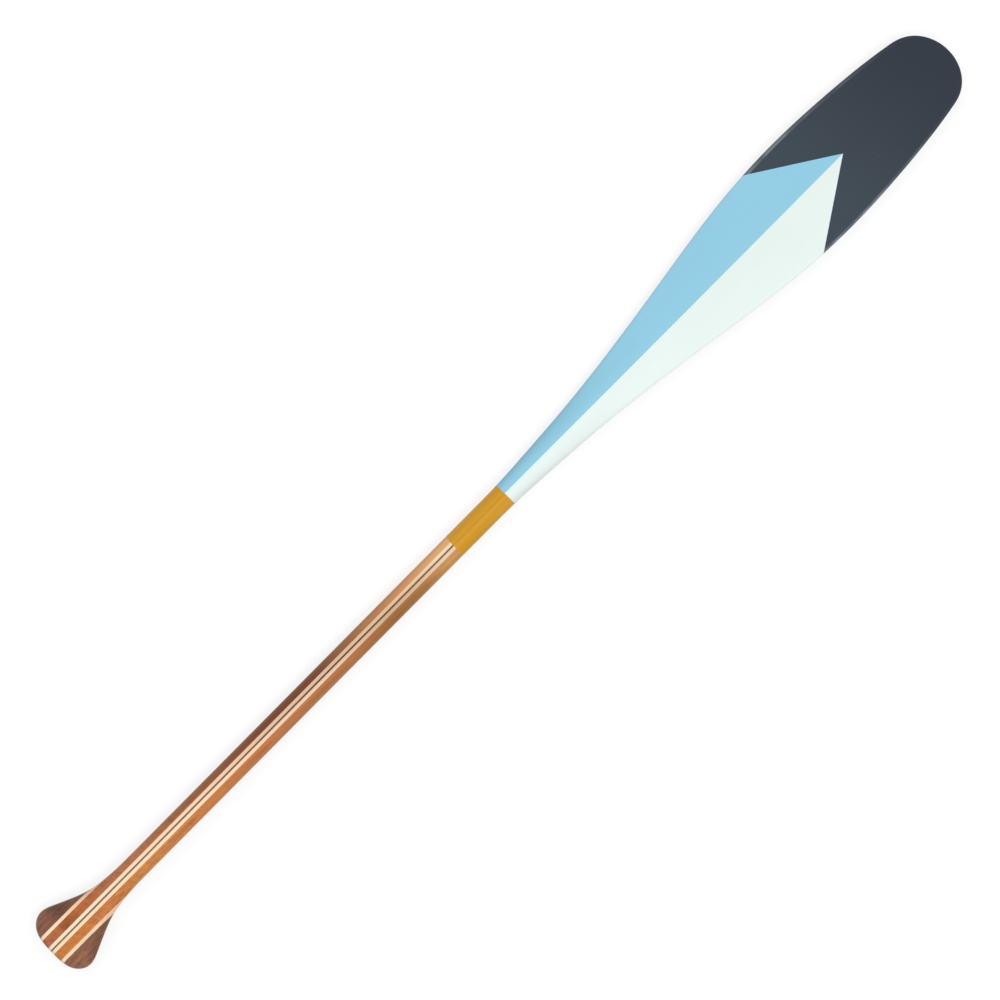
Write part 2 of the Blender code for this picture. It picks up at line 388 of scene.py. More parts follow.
def loft(stations, low, high, columns):
    """The points and normals of a strip's rings, as arrays of stations by points round the ring."""
    half_width = sections(stations)[0]
    first = np.arcsin(np.clip(low / half_width, -1, 1))
    last = np.arcsin(np.clip(high / half_width, -1, 1))
    pointed = last - first < NARROWEST
    outermost = np.where(np.abs(first) > np.abs(last), first, last)
    first = np.where(pointed, outermost, first)
    last = np.where(pointed, outermost, last)
    angles = first[:, None] + (last - first)[:, None] * np.linspace(0, 1, columns + 1)
    x = np.broadcast_to(stations[:, None], angles.shape)
    rings = []
    for measure in (surface, surface_normals):
        face = measure(x, angles, 1)
        back = measure(x, angles, -1)[:, ::-1]
        rings.append(np.concatenate([face, back], axis=1))
    return rings


def ring_faces(rings, columns):
    """Every face's corners, as (ring, column), and the way a flat face looks, which is None on the skin."""
    around = 2 * (columns + 1)
    for i in range(rings - 1):
        for j in range(around):
            flat = {columns: (0, 1, 0), around - 1: (0, -1, 0)}.get(j)
            yield ((i, j), (i + 1, j), (i + 1, j + 1), (i, j + 1)), flat
    for i, step, flat in ((0, 1, (-1, 0, 0)), (rings - 1, -1, (1, 0, 0))):
        for j in range(columns):
            corners = ((i, j), (i, j + 1), (i, around - 2 - j), (i, around - 1 - j))
            yield corners[::step], flat


print(sum(1 for _ in ring_faces(3, 4)), "faces on a sample of three rings with four columns a side")

# %% [markdown]
# ## Unrolling a long thin strip
#
# A picture baked for this strip is square, but the strip is fifty times longer than wide. Blender's own
# unwrapping would squeeze its whole length into one row of pixels. So the strip is laid out like lines of
# text: cut into equal lengths, one line under the other. Inside a line the face and the back get nearly
# all the height, and the glued sides, which nobody sees, share the rest.

# %% Layout of the UV map
LINE_LENGTH = 0.93
END_COLUMN = (0.95, 0.99)
END_START = 0.02
END_HEIGHT = 0.46
LINE_GAP = 0.006
GLUE_SHARE = 0.06
MOST_LINES = 10


def text_layout(stations, width, columns):
    """A function that gives corners their places on the map, for a strip of this width, and its lines."""
    length = stations[-1] - stations[0]
    skins = 1 - 2 * GLUE_SHARE
    lines = int(np.clip(round(math.sqrt(length * skins / (2 * width))), 1, MOST_LINES))
    ends = [int(np.abs(stations - stations[0] - length * n / lines).argmin()) for n in range(lines + 1)]
    column = [skins / (2 * columns)] * columns
    heights = np.cumsum([0, *column, GLUE_SHARE, *column, GLUE_SHARE])

    def skin_place(i, j, row):
        along = (stations[i] - stations[ends[row]]) / (stations[ends[row + 1]] - stations[ends[row]])
        up = LINE_GAP + heights[j] * (1 / lines - 2 * LINE_GAP)
        return (LINE_GAP + along * (LINE_LENGTH - LINE_GAP), row / lines + up)

    def end_place(i, j):
        on_face = j <= columns
        column = j if on_face else 2 * columns + 1 - j
        half = 0.5 * (i > 0)
        return (END_COLUMN[0 if on_face else 1], half + END_START + END_HEIGHT * column / columns)

    def places_of(corners):
        first = min(i for i, _ in corners)
        if all(i == first for i, _ in corners):
            return [end_place(*corner) for corner in corners]
        row = max(n for n in range(lines) if ends[n] <= first)
        return [skin_place(i, j, row) for i, j in corners]

    return places_of, lines


sample_lines = text_layout(STATIONS, MAPLE_GLUE - CENTRE_GLUE, 4)[1]
print("A full-length maple strip is laid out in", sample_lines, "lines")

# %% [markdown]
# ## From rings to a mesh
#
# A mesh is a list of points and a list of faces that name their corners. Where a strip runs out to a point,
# all the points of a ring fall together. They could stay, but faces without any area spoil a bake and a
# print. So points in one place are welded first, and a face that keeps fewer than three corners is dropped.
# The true normals and the map's places are then set corner by corner.

# %% Make a strip's mesh
WELD = 1e-8


def put_in_scene(name, data):
    """A new object in the scene, with this mesh, lamp or camera as its data."""
    item = bpy.data.objects.new(name, data)
    bpy.context.scene.collection.objects.link(item)
    return item


def carve_strip(name, low, high, columns, stations):
    """A strip between two glue planes, as a new object with its own normals and UV map."""
    points, normals = loft(stations, low, high, columns)
    rings, around = points.shape[:2]
    keys = np.round(points.reshape(-1, 3) / WELD).astype(np.int64)
    _, kept, where = np.unique(keys, axis=0, return_index=True, return_inverse=True)
    vertex = where.reshape(rings, around)
    places_of, lines = text_layout(stations, abs(high - low), columns)

    faces, looks, maps = [], [], []
    for corners, flat in ring_faces(rings, columns):
        numbers = [vertex[i, j % around] for i, j in corners]
        apart = [n for n in range(4) if numbers[n] != numbers[n - 1]]
        if len({numbers[n] for n in apart}) < 3:
            continue
        faces.append([int(numbers[n]) for n in apart])
        maps += [places_of(corners)[n] for n in apart]
        looks += [flat or tuple(normals[corners[n][0], corners[n][1]]) for n in apart]

    mesh = bpy.data.meshes.new(name)
    mesh.from_pydata(points.reshape(-1, 3)[kept].tolist(), [], faces)
    layer = mesh.uv_layers.new(name="OFBake")
    layer.uv.foreach_set("vector", np.array(maps, np.float32).ravel())
    mesh.shade_smooth()
    mesh.normals_split_custom_set(looks)
    print(f"{name}: {len(faces)} faces, mapped in {lines} lines")
    return put_in_scene(name, mesh)


print(f"Points less than {1e6 * WELD:.2f} thousandths of a millimetre apart are welded")

# %% [markdown]
# ## The fifteen strips
#
# Walnut, maple and cedar run the whole length, so the walnut line that shows on the grip is the same piece
# of wood that lies under the paint at the tip. Only the grip and the blade are wider than the shaft: there
# the outer strips begin and end in points, where the carver ran off the side of the shaft. The strips could
# be written out one by one, but left and right would soon disagree. So a table gives each pair once, and
# both sides are carved from the same row.

# %% Carve the strips
ON_GRIP = STATIONS[STATIONS < ON_SHAFT]
ON_BLADE = STATIONS[STATIONS > ON_SHAFT]
JUST_OUTSIDE = 1e-9
PAIRS = (
    ("maple_strip", CENTRE_GLUE, MAPLE_GLUE, 4, STATIONS),
    ("cedar_strip", MAPLE_GLUE, CEDAR_GLUE, 12, STATIONS),
    ("grip_maple", CEDAR_GLUE, GRIP_GLUE, 5, ON_GRIP),
    ("grip_walnut", GRIP_GLUE, GRIP_WIDTH, 16, ON_GRIP),
    ("blade_inner", CEDAR_GLUE, INNER_GLUE, 10, ON_BLADE),
    ("blade_middle", INNER_GLUE, MIDDLE_GLUE, 10, ON_BLADE),
    ("blade_outer", MIDDLE_GLUE, BLADE_WIDTH, 14, ON_BLADE),
)
strips = {}


def add_strip(node, low, high, columns, stations):
    """Carve the strip that stands for one of the model's strips, and let it ride with the paddle."""
    piece = carve_strip(f"{node}_carved", low, high, columns, stations)
    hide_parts(node)
    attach(piece, "root")
    strips[node] = piece


add_strip("walnut_centre_strip", -CENTRE_GLUE, CENTRE_GLUE, 3, STATIONS)
for node, inner, outer, columns, stations in PAIRS:
    wide_enough = stations[sections(stations)[0] > inner - JUST_OUTSIDE]
    add_strip(f"{node}_left", inner, outer, columns, wide_enough)
    add_strip(f"{node}_right", -outer, -inner, columns, wide_enough)
print(len(strips), "strips,", sum(len(piece.data.polygons) for piece in strips.values()), "faces in all")

# %% [markdown]
# ## Writing materials as short lines
#
# A material in Blender is a graph of nodes. Adding each node and each link takes three or four lines, which
# hides the idea. The helpers below add a node and wire its inputs in one call. They put it where its inputs
# come from, so a step reads like arithmetic. Colours are written as they look on a screen, from 0 to 255,
# and turned into the linear light that Blender's sockets want.


# %% Node helpers
def screen_colour(red, green, blue):
    """A colour as a screen shows it, turned into linear light by the curve that all screens share."""
    parts = [value / 255 for value in (red, green, blue)]
    return (*(p / 12.92 if p <= 0.04045 else ((p + 0.055) / 1.055) ** 2.4 for p in parts), 1)


def is_output(value):
    """Whether this is the output of a node, and not a plain number, place or colour."""
    return isinstance(value, bpy.types.NodeSocket)


def add(kind, inputs, tree=None, **settings):
    """A new shader node, in the tree of the outputs that feed it. Only a node without them names its tree."""
    tree = tree or next(value.id_data for value in inputs.values() if is_output(value))
    node = tree.nodes.new(f"ShaderNode{kind}")
    for name, value in settings.items():
        setattr(node, name, value)
    for name, value in inputs.items():
        if is_output(value):
            tree.links.new(value, node.inputs[name])
        else:
            node.inputs[name].default_value = value
    return node


def maths(operation, *values):
    """One step of arithmetic."""
    return add("Math", dict(enumerate(values)), operation=operation).outputs[0]


def product(first, *others):
    """Some values, multiplied."""
    for value in others:
        first = maths("MULTIPLY", first, value)
    return first


def vectors(operation, *values):
    """One step of arithmetic on places. The length of a vector comes out as a number."""
    node = add("VectorMath", dict(enumerate(values)), operation=operation)
    return node.outputs["Value" if operation == "LENGTH" else "Vector"]


def parts_of(vector):
    """A place or a normal, taken apart into X, Y and Z."""
    return add("SeparateXYZ", {0: vector}).outputs


def put_together(*parts):
    """A vector from its X, Y and Z."""
    return add("CombineXYZ", dict(enumerate(parts))).outputs[0]


print("Walnut brown in linear light:", *(f"{part:.3f}" for part in screen_colour(120, 84, 66)[:3]))

# %% [markdown]
# ## Steps that come back
#
# Nearly every effect below is put together from a few steps: one colour laid over another, a measure turned
# into a soft step, clouds from a noise, and a value that strays with those clouds. They could be written
# out each time, but a named step reads faster and leaves only the numbers of the effect to look at.

# %% Colour, step and noise helpers
NOISE_MIDDLE = 0.5


def blend(share, first, second, how="MIX"):
    """The first colour, with a share of the second one laid over it."""
    inputs = {0: share, 6: first, 7: second}
    return add("Mix", inputs, data_type="RGBA", blend_type=how).outputs[2]


def ramp(value, start, end, low=0.0, high=1.0):
    """A soft step from low to high, while the value goes from start to end."""
    inputs = {"Value": value, "From Min": start, "From Max": end, "To Min": low, "To Max": high}
    return add("MapRange", inputs, interpolation_type="SMOOTHSTEP").outputs["Result"]


def clouds(place, waves, detail=2.0, distortion=0.0):
    """Noise from 0 to 1, with so many waves in 1 mm along X, Y and Z. Comes as a number and as a colour."""
    stretched = vectors("MULTIPLY", place, waves)
    inputs = {"Vector": stretched, "Scale": 1.0, "Detail": detail, "Distortion": distortion}
    return add("TexNoise", inputs).outputs


def stray(noise, amount, middle):
    """A value that strays from its middle as a noise does."""
    return maths("MULTIPLY_ADD", maths("SUBTRACT", noise, NOISE_MIDDLE), amount, middle)


def lighten(color, light):
    """A colour, made lighter above 1 and darker below it."""
    return add("HueSaturation", {"Value": light, "Color": color}).outputs[0]


print(f"A noise strays by up to {NOISE_MIDDLE} to both sides of {NOISE_MIDDLE}")

# %% [markdown]
# ## Effects as groups
#
# Several woods share an effect, such as grain, but each wants its own values in it. One could copy the
# nodes into every material, and then a change has to be made in all of them. A node group is built once,
# with named inputs and outputs like a function, and each material places it with its own values.


# %% Group helpers
def spaced(values):
    """Some named values, with each underscore turned into a space, because that is how sockets are named."""
    return {name.replace("_", " "): value for name, value in values.items()}


def start_group(group_name, **inputs):
    """A new node group. An input is a number, a place of three parts or a colour of four."""
    tree = bpy.data.node_groups.new(group_name, "ShaderNodeTree")
    for label, value in spaced(inputs).items():
        kind = {1: "Float", 3: "Vector", 4: "Color"}[np.size(value)]
        socket = tree.interface.new_socket(label, in_out="INPUT", socket_type=f"NodeSocket{kind}")
        socket.default_value = value
    return tree, tree.nodes.new("NodeGroupInput").outputs


def finish_group(**results):
    """Give the group its outputs, wire them up and say what it has."""
    results = spaced(results)
    tree = next(iter(results.values())).id_data
    for label, value in results.items():
        kind = "Color" if value.type == "RGBA" else "Float"
        tree.interface.new_socket(label, in_out="OUTPUT", socket_type=f"NodeSocket{kind}")
    ends = tree.nodes.new("NodeGroupOutput").inputs
    for label, value in results.items():
        tree.links.new(value, ends[label])
    print(f"{tree.name}: {len(tree.nodes)} nodes, giving", ", ".join(results))


def use(group, **inputs):
    """A node group placed in a material, with this material's own values."""
    return add("Group", spaced(inputs), node_tree=group).outputs


ORIGIN = (0, 0, 0)
ANY_COLOUR = (0.5, 0.5, 0.5, 1)
print("A group's colour is grey until a material gives it its own:", ANY_COLOUR)

# %% [markdown]
# ## Grain
#
# Wood is a stack of yearly layers round the heart of a tree. Each layer starts pale and soft and ends in a
# thin dark line. A wood picture wrapped round the strip would look pasted on, so the grain is worked out in
# space: the distance from the heart, divided by a layer's thickness, says how far into its year a point is.
# The same numbers then draw long lines on a face and arcs on an end. Places come in millimetres.

# %% Group: wood grain
LEAN = 0.011
WANDER_WAVES = (0.0035, 0.02, 0.02)
THICKNESS_WAVES = (0.21, 0, 0)
STREAK_WAVES = (0.0045, 0.33, 0.33)
FIBRE_WAVES = (0.03, 2.4, 2.4)
SUMMER = (0.25, 0.9)
WINTER = (0.93, 1.0)
FAINTEST_YEAR = 0.35

grain, given = start_group(
    "Wood Grain",
    Place=ORIGIN,
    Color=ANY_COLOUR,
    Late_Tint=(0.7, 0.6, 0.5, 1),
    Heart=(0, 20, -60),
    Ring_Width=1.6,
    Wander=4.0,
    Streaks=0.2,
    Fibres=0.2,
)
wander = clouds(given["Place"], WANDER_WAVES, detail=1.0)[1]
wander = vectors("SUBTRACT", wander, [NOISE_MIDDLE] * 3)
wander = add("VectorMath", {0: wander, "Scale": given["Wander"]}, operation="SCALE").outputs[0]
moved = vectors("SUBTRACT", vectors("ADD", given["Place"], wander), given["Heart"])
along, side, up = parts_of(moved)
side = maths("MULTIPLY_ADD", along, LEAN, side)
from_heart = vectors("LENGTH", put_together(0.0, side, up))
uneven = clouds(put_together(from_heart), THICKNESS_WAVES)[0]
years = maths("ADD", maths("DIVIDE", from_heart, given["Ring Width"]), uneven)
year = maths("FRACT", years)
whole_years = maths("FLOOR", years)
good_year = add("TexWhiteNoise", {"W": whole_years}, noise_dimensions="1D").outputs[0]
late = product(
    ramp(year, *SUMMER),
    ramp(year, *WINTER, 1.0, 0.0),
    ramp(good_year, 0.0, 1.0, FAINTEST_YEAR, 1.0),
)
light = stray(clouds(given["Place"], STREAK_WAVES, detail=3.0)[0], given["Streaks"], 1.0)
light = stray(clouds(given["Place"], FIBRE_WAVES)[0], given["Fibres"], light)
tinted = blend(late, given["Color"], given["Late Tint"], "MULTIPLY")
finish_group(Color=lighten(tinted, light), Late_Wood=late)

# %% [markdown]
# ## Figure
#
# Near the grip the cedar was cut where the fibres swirl, so it shows soft slanting patches of gold and
# brown under the varnish, broader and blurrier than the rings. The rings could be bent to show it, but that
# takes many more steps for the same look. So a noise is stretched along a slanting line: where it is high
# the wood turns golden, and where it is low it turns brown. The patches fade out away from the grip. Walnut
# uses the same group with a longer stretch and nearly no slant, which turns its patches into pale and dark
# streaks.

# %% Group: figure
FIGURE_FLATNESS = 0.6
GOLDEN_STEP = (0.48, 0.70)
BROWN_STEP = (0.50, 0.32)

figure, given = start_group(
    "Figure",
    Place=ORIGIN,
    Color=ANY_COLOUR,
    Bright_Tint=(1.1, 1.1, 0.8, 1),
    Dark_Tint=(0.85, 0.78, 0.75, 1),
    Slant=math.radians(35),
    Size=8.0,
    Stretch=2.2,
    Strongest_At=-700.0,
    Gone_At=-350.0,
)
inputs = {"Vector": given["Place"], "Angle": given["Slant"]}
turned = add("VectorRotate", inputs, rotation_type="Z_AXIS").outputs[0]
shape = put_together(maths("DIVIDE", 1.0, given["Stretch"]), 1.0, FIGURE_FLATNESS)
waves = vectors("DIVIDE", vectors("MULTIPLY", turned, shape), given["Size"])
inputs = {"Vector": waves, "Scale": 1.0, "Detail": 3.0, "Roughness": 0.6, "Distortion": 0.9}
swirl = add("TexNoise", inputs).outputs[0]
strength = ramp(parts_of(given["Place"])[0], given["Gone At"], given["Strongest At"])
golden = product(ramp(swirl, *GOLDEN_STEP), strength)
brown = product(ramp(swirl, *BROWN_STEP), strength)
color = blend(golden, given["Color"], given["Bright Tint"], "MULTIPLY")
color = blend(brown, color, given["Dark Tint"], "MULTIPLY")
finish_group(Color=color)

# %% [markdown]
# ## Pores
#
# Walnut has open pores, which look like short dark scratches along the grain. They could be cut into the
# mesh, but each is thinner than a hair. A noise that is stretched along the grain, and of which only the
# peaks are kept, leaves such dashes.

# %% Group: pores
PORE_STEP = (0.60, 0.70)

pores, given = start_group("Pores", Place=ORIGIN, Length=6.0, Width=0.35, Amount=0.6)
size = put_together(given["Length"], given["Width"], given["Width"])
waves = vectors("DIVIDE", given["Place"], size)
speckle = add("TexNoise", {"Vector": waves, "Scale": 1.0, "Detail": 1.0}).outputs[0]
finish_group(Pores=product(ramp(speckle, *PORE_STEP), given["Amount"]))

# %% [markdown]
# ## Ray flecks
#
# A tree also grows thin ribbons from its heart outwards, called rays. Where the face of a walnut board cuts
# them, they show as pale flecks across the grain. The grain group could draw them too, but only walnut
# shows them, so they are a group of their own. Their noise is short along the board and longer across it,
# the other way round than for the pores.

# %% Group: ray flecks
RAY_WAVES = (1.1, 0.3, 0.6)
RAY_STEP = (0.50, 0.75)
RAY_BROWN = screen_colour(208, 158, 122)

rays, given = start_group("Ray Flecks", Place=ORIGIN, Color=ANY_COLOUR, Amount=0.14)
flecks = clouds(given["Place"], RAY_WAVES, detail=1.0, distortion=0.3)[0]
flecks = product(ramp(flecks, *RAY_STEP), given["Amount"])
finish_group(Color=blend(flecks, given["Color"], RAY_BROWN))

# %% [markdown]
# ## Glue lines
#
# Where two strips meet, a hair of dark glue shows. It could be a thin piece of its own, but at this width it
# is only a colour. A point knows how far it is from the paddle's middle, and so how near to a glue plane.

# %% Group: glue line
GLUE_FADE = (0.35, 1.0)

glue, given = start_group(
    "Glue Line",
    Place=ORIGIN,
    Inner_Plane=5.0,
    Outer_Plane=16.0,
    Width=0.16,
    Amount=0.4,
)
side = maths("ABSOLUTE", parts_of(given["Place"])[1])
planes = (given["Inner Plane"], given["Outer Plane"])
gaps = [maths("ABSOLUTE", maths("SUBTRACT", side, plane)) for plane in planes]
nearest = maths("DIVIDE", maths("MINIMUM", *gaps), given["Width"])
finish_group(Glue=product(ramp(nearest, *GLUE_FADE, 1.0, 0.0), given["Amount"]))

# %% [markdown]
# ## End grain
#
# Wood that is cut across its fibres drinks the varnish and turns darker, which shows on the grip's flat end.
# The end could have a material of its own, but then the colour would change at a sharp corner, and the real
# wood darkens over the round of the edge. So the normal decides: there it turns to look along the paddle.

# %% Group: end grain
FACING_END = (0.55, 0.98)
SOAKED_BROWN = screen_colour(70, 40, 24)

end_grain, given = start_group("End Grain", Normal=ORIGIN, Color=ANY_COLOUR, Darker=0.45)
facing = maths("ABSOLUTE", parts_of(given["Normal"])[0])
thirst = product(ramp(facing, *FACING_END), given["Darker"])
finish_group(Color=blend(thirst, given["Color"], SOAKED_BROWN, "MULTIPLY"))

# %% [markdown]
# ## Where the tapes lie
#
# The blade is masked with tape and painted in plain blocks: navy at the tip with an arrow cut into it, light
# blue and pale mint on either side of the middle line, and a mustard band where the neck ends. They could
# be separate faces, but then the mesh would have to follow the tape. Here the edges are measured: a point
# knows how far it is from the tip and from the middle line, and so on which side of each tape it lies. A
# little noise in that distance is the paint that crept under the tape. The group starts in this cell and
# ends in the next one.

# %% Group: paint scheme, with its tapes
ARROW_POINT = 177.8
ARROW_SLOPE = 1.507
BAND_START = 752.4
BAND_END = 840.0
BAND_END_BOW = 2.0
CREEP_WAVES = (0.35, 0.35, 0.35)

scheme, given = start_group(
    "Paint Scheme",
    Place=ORIGIN,
    # The navy: its own colour at the tip, and the same navy with a painted sheen laid in further from it.
    Tip=screen_colour(43, 52, 64),
    Tip_Faded=screen_colour(58, 69, 79),
    Left=screen_colour(147, 206, 229),
    Right=screen_colour(232, 244, 240),
    Band=screen_colour(208, 149, 2),
    Brushed=screen_colour(222, 166, 60),
    Creep=0.35,
)
along, side, _ = parts_of(given["Place"])
from_tip = maths("SUBTRACT", 1000 * TIP, along)
creep = stray(clouds(given["Place"], CREEP_WAVES)[0], given["Creep"], 0.0)
to_left = maths("ADD", side, creep)
past_point = maths("SUBTRACT", from_tip, ARROW_POINT)
past_arrow = maths("MULTIPLY_ADD", maths("ABSOLUTE", side), -ARROW_SLOPE, past_point)
past_arrow = maths("MULTIPLY_ADD", past_arrow, 1 / math.hypot(1, ARROW_SLOPE), creep)
past_band_start = maths("ADD", maths("SUBTRACT", from_tip, BAND_START), creep)
bow_shape = BAND_END_BOW / (1000 * SHAFT_WIDTH / 2) ** 2
bow = product(maths("POWER", side, 2.0), bow_shape)
past_band_end = maths("ADD", maths("SUBTRACT", from_tip, BAND_END), bow)
past_band_end = maths("ADD", past_band_end, creep)
print(f"The arrow's point is {ARROW_POINT} mm from the tip. The band is {BAND_END - BAND_START:.1f} mm long.")

# %% [markdown]
# ## Which paint lies where
#
# The paints are laid in the order in which a painter would do it, each over the last. Flat colours would be
# simplest, but two of the paints aren't even. The navy gets greyer away from the tip, which is a painted
# sheen: the shine of the light on the satin paint, growing towards the arrow. The mustard shows the brush, in
# long strokes from a noise that is drawn out along the shaft. Paint also piles up against a tape, so the
# group gives a ridge along each edge, for the bump.

# %% Group: paint scheme, with its paints
TAPE_SOFTNESS = 0.12
RIDGE_WIDTH = 0.5
NAVY_SHEEN = (20.0, 245.0)
STROKE_WAVES = (0.004, 0.12, 0.05)
STROKE_STEP = (0.36, 0.66)


def beyond(distance):
    """0 before an edge and 1 beyond it."""
    return ramp(distance, -TAPE_SOFTNESS, TAPE_SOFTNESS)


sides = blend(beyond(to_left), given["Right"], given["Left"])
# The painted sheen on the navy grows from the tip towards the arrow.
navy = blend(ramp(from_tip, *NAVY_SHEEN), given["Tip"], given["Tip Faded"])
tip_and_sides = blend(beyond(past_arrow), navy, sides)
strokes = ramp(clouds(given["Place"], STROKE_WAVES)[0], *STROKE_STEP)
mustard = blend(strokes, given["Band"], given["Brushed"])
in_band = beyond(past_band_start)
painted = maths("SUBTRACT", 1.0, beyond(past_band_end))

nearest = maths("ABSOLUTE", past_arrow)
for edge in (past_band_start, past_band_end):
    nearest = maths("MINIMUM", nearest, maths("ABSOLUTE", edge))
finish_group(
    Color=blend(in_band, tip_and_sides, mustard),
    Painted=painted,
    Band=in_band,
    Tape_Edge=ramp(nearest, 0.0, RIDGE_WIDTH, 1.0, 0.0),
)

# %% [markdown]
# ## A painted highlight on the rim
#
# Where the blade's rim rounds over, its satin paint catches the light, which shows on the navy as a light
# edge. That shine is painted into the colour here, as a pale grey laid over the paint: a painted highlight.
# Sharp edges are often found by comparing the normals round a point, but this rim is a smooth round. There
# the normal itself tells enough: it tips over to the side only on the rim. The right side is the sharper one
# and gets a fine line of painted highlight. The left side gets a wider band of painted sheen, which is
# faintest at its very edge. A noise breaks both up, and both fade along the blade. The painted highlight only
# ever lightens, so the pale paints keep their own.

# %% Group: painted highlight on the rim
TIPPED_OVER = (0.992, 0.93)
TURNED_LEFT = (0.0, 0.05)
LEFT_BAND = (0.055, 0.15)
LEFT_EDGE = (0.20, 0.36)
LEFT_EDGE_SHARE = 0.55
TIP_SHARE = 0.05
SHEEN_WAVES = (0.03, 0.03, 0.03)
SHEEN_STEP = (0.35, 0.62)
FAINTEST_SHEEN = 0.35

rim_highlight, given = start_group(
    "Rubbed Rim",
    Place=ORIGIN,
    Normal=ORIGIN,
    Color=ANY_COLOUR,
    # The pale grey of the painted highlight.
    Rubbed=screen_colour(187, 191, 200),
    Amount=0.42,
    Wider_On_Left=0.8,
    Starts_At=20.0,
    Strongest_From=260.0,
    Strongest_To=400.0,
    Gone_At=560.0,
    Left_Strongest_To=285.0,
    Left_Gone_At=350.0,
)
from_tip = maths("SUBTRACT", 1000 * TIP, parts_of(given["Place"])[0])
_, to_left, upwards = parts_of(given["Normal"])
line = product(
    ramp(maths("ABSOLUTE", upwards), *TIPPED_OVER),
    ramp(to_left, *TURNED_LEFT, 1.0, LEFT_EDGE_SHARE),
)
band = product(
    ramp(to_left, *LEFT_BAND),
    ramp(to_left, *LEFT_EDGE, 1.0, LEFT_EDGE_SHARE),
    ramp(from_tip, given["Left Gone At"], given["Left Strongest To"]),
    given["Wider On Left"],
)
patchy = clouds(given["Place"], SHEEN_WAVES, detail=3.0)[0]
# How strongly the painted highlight shows at each point of the rim.
rim_sheen = product(
    maths("MAXIMUM", line, band),
    ramp(from_tip, given["Starts At"], given["Strongest From"], TIP_SHARE, 1.0),
    ramp(from_tip, given["Gone At"], given["Strongest To"]),
    ramp(patchy, *SHEEN_STEP, FAINTEST_SHEEN, 1.0),
    given["Amount"],
)
finish_group(Color=blend(rim_sheen, given["Color"], given["Rubbed"], "LIGHTEN"))

# %% [markdown]
# ## A satin film
#
# Paint and varnish are films. With one even roughness they would look like plastic, because a real satin
# film pools a little, follows the grain of the wood under it, and catches some dust before it is dry. So
# the group gives a colour that drifts slightly, a roughness that varies, and a height for the bump. All the
# paints and the varnish use it. The dust is a pattern of cells, each with one speck in it, of which less
# than half are kept.

# %% Group: satin film
POOL_WAVES = (0.012, 0.03, 0.03)
RIPPLE_WAVES = (0.45, 0.6, 0.6)
CELL_WAVES = (0.055, 0.055, 0.055)
SPECK_EDGE = (0.012, 0.026)
CELLS_WITH_DUST = (0.55, 0.56)
DUST_GREY = screen_colour(228, 226, 220)
DUST_SHOWS = 0.35
POOLS_ROUGHEN = 0.22
RIPPLE_ROUGHENS = 0.08
RIPPLE_HEIGHT = 0.25
SPECK_HEIGHT = 1.6

film, given = start_group(
    "Satin Film",
    Place=ORIGIN,
    Color=ANY_COLOUR,
    Grain=0.5,
    Roughness=0.4,
    Unevenness=0.06,
    Show_Through=0.15,
    Dust=0.5,
)
pools = clouds(given["Place"], POOL_WAVES, detail=3.0)[0]
ripple = clouds(given["Place"], RIPPLE_WAVES)[0]
cell_places = vectors("MULTIPLY", given["Place"], CELL_WAVES)
cells = add("TexVoronoi", {"Vector": cell_places, "Scale": 1.0}).outputs
edge = ramp(cells["Distance"], *SPECK_EDGE, 1.0, 0.0)
draw = add("SeparateColor", {0: cells["Color"]}).outputs[0]
speck = product(edge, ramp(draw, *CELLS_WITH_DUST), given["Dust"])
drifting = lighten(given["Color"], stray(pools, given["Unevenness"], 1.0))
rough = stray(pools, POOLS_ROUGHEN, given["Roughness"])
height = product(ripple, RIPPLE_HEIGHT)
height = maths("MULTIPLY_ADD", given["Grain"], given["Show Through"], height)
finish_group(
    Color=blend(product(speck, DUST_SHOWS), drifting, DUST_GREY),
    Roughness=stray(ripple, RIPPLE_ROUGHENS, rough),
    Height=maths("MULTIPLY_ADD", speck, SPECK_HEIGHT, height),
)

# %% [markdown]
# ## A board's tone
#
# No board has one colour from end to end. A single colour with noise on it would drift by chance, but on the
# real paddle it can be seen where each strip is pale or dark. So each wood gets a short list of tones at
# places along the paddle, and Blender's colour ramp blends from one to the next. On the shaft some tones also
# carry painted light: a painted sheen near the band, and painted shade in the middle of the left strips.


# %% Start a material, and its tone
def start_material(name):
    """A material, with the place of each point in millimetres and its normal."""
    material = bpy.data.materials.new(name)
    material.use_nodes = True
    points = add("TexCoord", {}, material.node_tree).outputs
    return material, vectors("MULTIPLY", points["Object"], (1000, 1000, 1000)), points["Normal"]


WOBBLE_WAVES = (0.05, 0.07, 0.07)


def tone_along(place, tones, wobble=0.0):
    """A colour that drifts along the paddle. A tone is (place in mm, screen colour). The last one stays."""
    along = parts_of(place)[0]
    if wobble:
        along = stray(clouds(place, WOBBLE_WAVES, detail=1.0)[0], wobble, along)
    inputs = {"Value": along, "From Min": 1000 * GRIP_END, "From Max": 1000 * TIP}
    share = add("MapRange", inputs).outputs["Result"]
    drift = add("ValToRGB", {"Fac": share})
    stops = drift.color_ramp.elements
    for at, color in tones[1:]:
        stops.new((at / 1000 - GRIP_END) / (TIP - GRIP_END)).color = screen_colour(*color)
    stops[0].color = screen_colour(*tones[0][1])
    stops[-1].color = screen_colour(*tones[-1][1])
    return drift.outputs["Color"]


print(f"Tones are placed from {1000 * GRIP_END:.0f} mm at the grip's end to {1000 * TIP:.0f} mm at the tip")

# %% [markdown]
# ## From the groups to a material
#
# Every strip on the paddle has the same two layers, wood and a film on it, and the film is paint as far as
# the scheme says and clear varnish beyond. Each wood could lay its own film, but then a change to the paint
# would have to be made four times. So one function takes the wood's colours, places the groups and mixes
# the two layers by the scheme's mask. The shader itself stays in the material: a Principled BSDF whose coat
# is the varnish.

